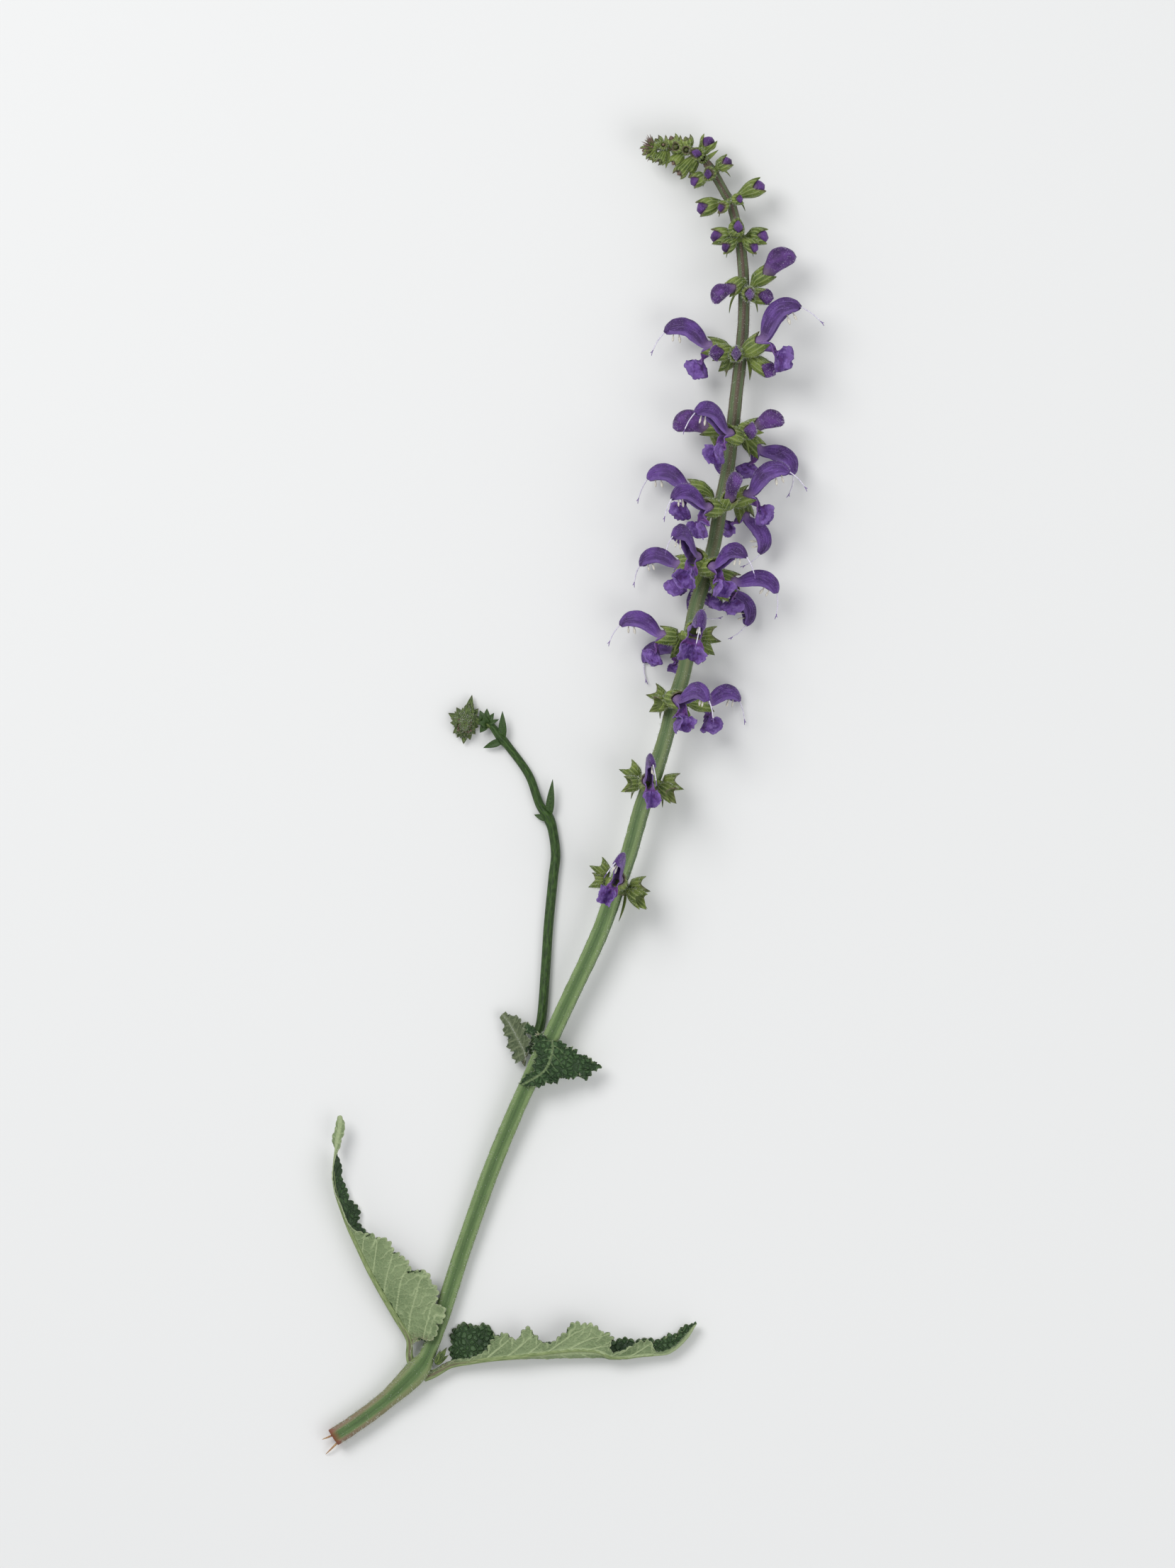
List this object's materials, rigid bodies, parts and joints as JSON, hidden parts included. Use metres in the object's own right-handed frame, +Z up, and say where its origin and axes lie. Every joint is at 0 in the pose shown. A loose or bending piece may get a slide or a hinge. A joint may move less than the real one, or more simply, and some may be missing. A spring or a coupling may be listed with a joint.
{
  "type": "cut flowering stem of perennial salvia",
  "caption": "Cut stem of perennial salvia lying down: a curved square stem with whorls of violet two-lipped flowers, folded leaves and a thin side shoot.",
  "frame": {"origin": "middle of the bounding box across and along, at the level of the surface that the stem lies on", "axes": "+X across to the right as seen from above with the spike up, +Y along the stem towards the spike, +Z up from the surface"},
  "size_m": [0.146, 0.4066, 0.0375],
  "materials": {
    "stem": "matte green, finely hairy",
    "leaf": "matte wrinkled green",
    "calyx": "matte ribbed green",
    "corolla": "soft violet petal"
  },
  "bodies": {
    "root": {"stem": "stem", "side_shoot": "stem", "basal_leaf_left": "leaf", "basal_leaf_right": "leaf", "stem_leaf_front": "leaf", "stem_leaf_back": "leaf", "axillary_shoot": "leaf", "whorl_03": "calyx", "whorl_04": "calyx", "whorl_05": "calyx", "whorl_06": "calyx", "whorl_07": "calyx", "whorl_08": "calyx", "whorl_09": "calyx", "whorl_10": "calyx", "whorl_11": "calyx", "whorl_12": "calyx", "whorl_13": "calyx", "whorl_14": "calyx", "spike_tip": "calyx", "side_head": "calyx", "corolla_10_left": "corolla", "corolla_10_right": "corolla", "corolla_09_left": "corolla", "corolla_09_right": "corolla", "corolla_09_back": "corolla", "corolla_08_left_back": "corolla", "corolla_08_left_front": "corolla", "corolla_08_right_front": "corolla", "corolla_08_right_low": "corolla", "corolla_07_left_front": "corolla", "corolla_07_left_back": "corolla", "corolla_07_right_front": "corolla", "corolla_07_right": "corolla", "corolla_07_right_back": "corolla", "corolla_07_back": "corolla", "corolla_06_left": "corolla", "corolla_06_front": "corolla", "corolla_06_back": "corolla", "corolla_05_front": "corolla", "corolla_05_right": "corolla", "corolla_04_front": "corolla", "corolla_03_front": "corolla", "bud_11_right": "corolla", "bud_11_left": "corolla", "bud_11_front": "corolla", "bud_11_right_low": "corolla", "bud_10_left_front": "corolla", "bud_10_front": "corolla", "bud_10_right_low": "corolla", "bud_09_left": "corolla", "bud_09_right": "corolla", "bud_09_front": "corolla", "bud_08_front": "corolla"}
  },
  "joints": []
}
